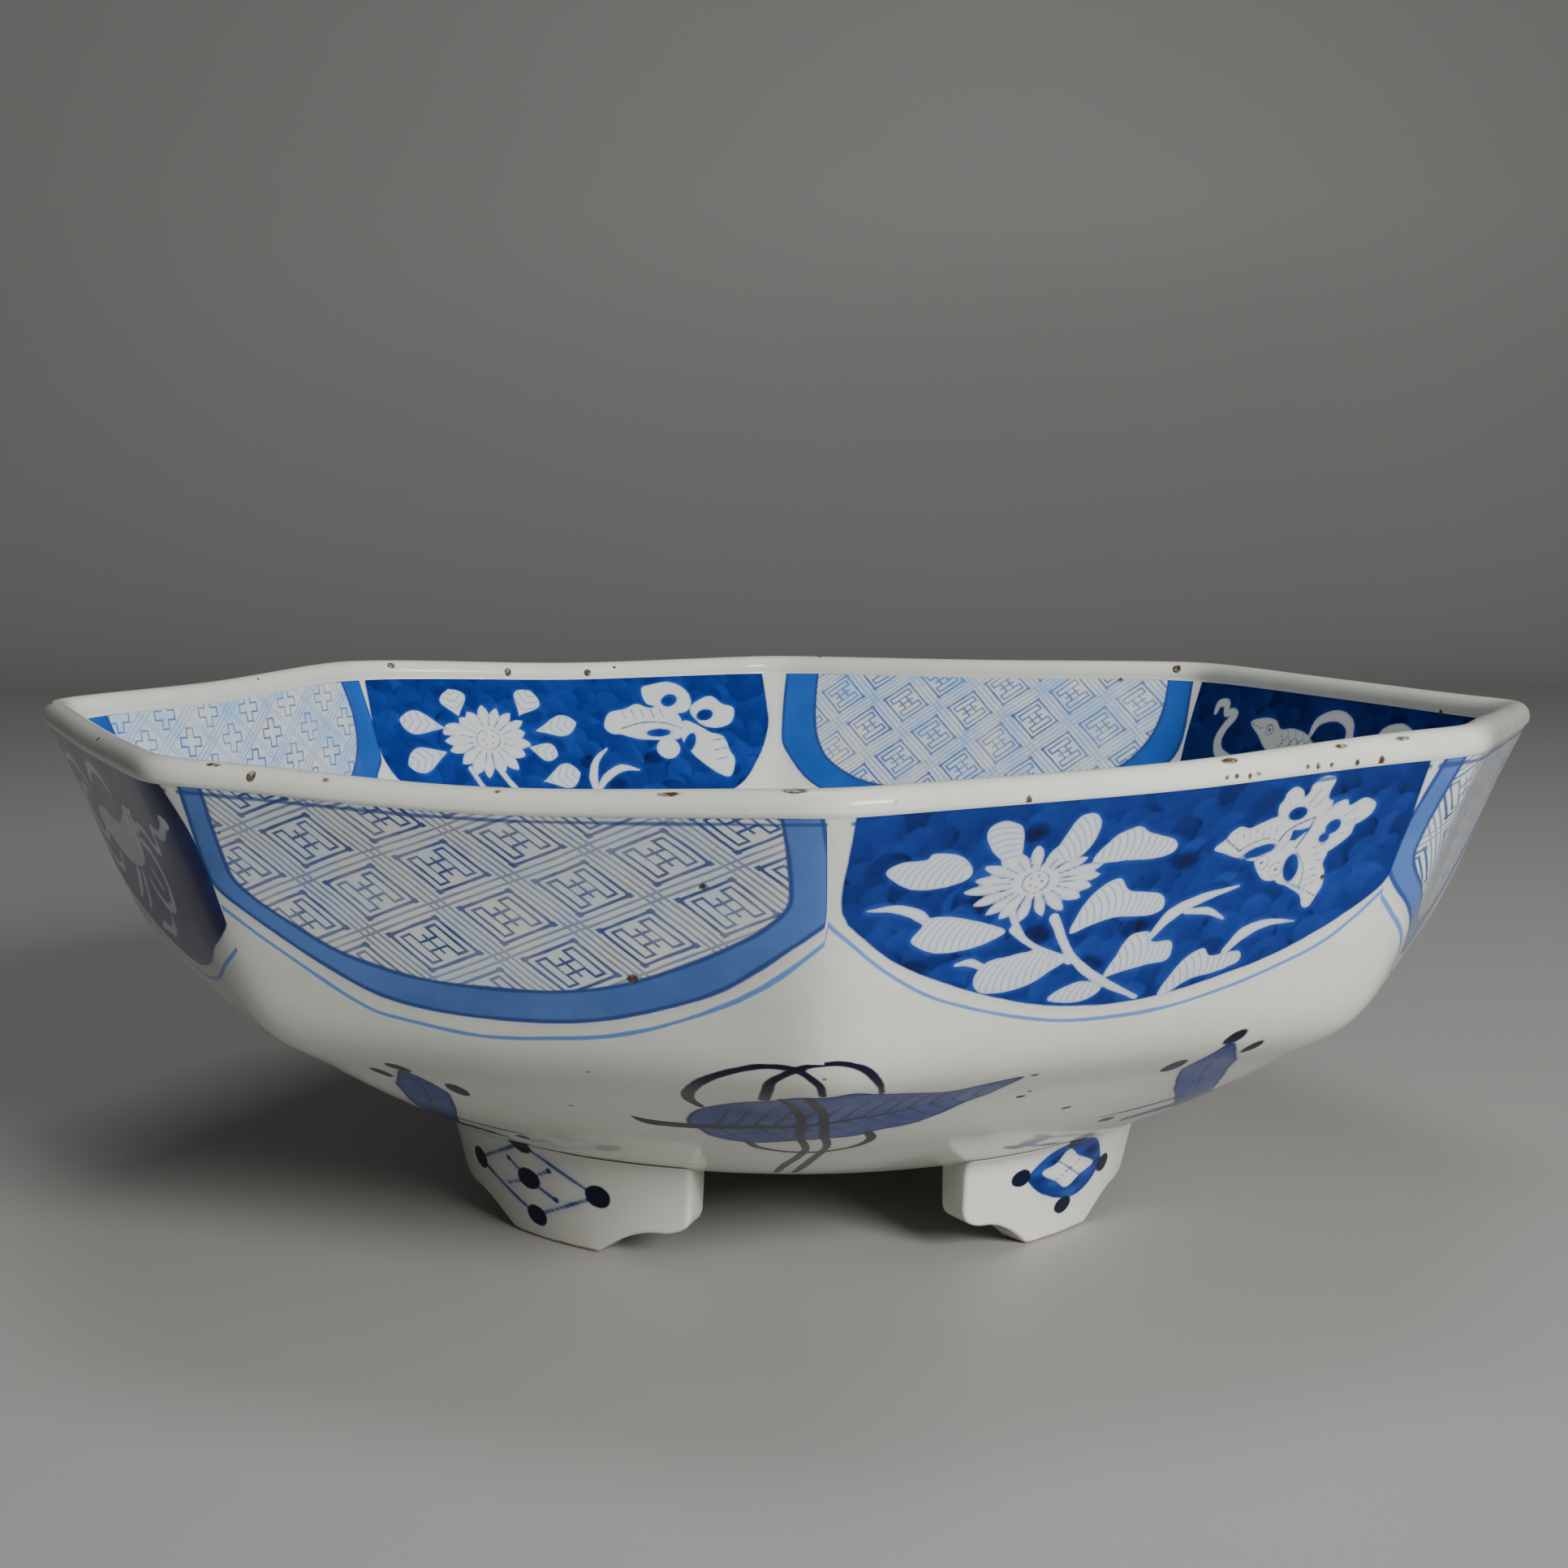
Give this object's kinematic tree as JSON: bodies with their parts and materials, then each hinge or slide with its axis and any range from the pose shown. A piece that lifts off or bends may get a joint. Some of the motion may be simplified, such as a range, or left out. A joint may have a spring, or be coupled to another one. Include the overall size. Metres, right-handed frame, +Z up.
{
  "type": "serving bowl",
  "caption": "Octagonal porcelain serving bowl with a flared panelled wall, a rounded lip, a shallow curved base and bracket feet under its corners.",
  "frame": {"origin": "on the table plane, under the bowl's axis", "axes": "+Z up along the bowl's axis; corners of the octagon on -Y, +X, +Y, -X and half way between them; -Y is the front"},
  "size_m": [0.3466, 0.3466, 0.1169],
  "materials": {
    "glazed_porcelain": "gloss"
  },
  "bodies": {
    "root": {"bowl_body": "glazed_porcelain", "foot_front_left": "glazed_porcelain", "foot_front_right": "glazed_porcelain", "foot_back_right": "glazed_porcelain", "foot_back_left": "glazed_porcelain"}
  },
  "joints": []
}
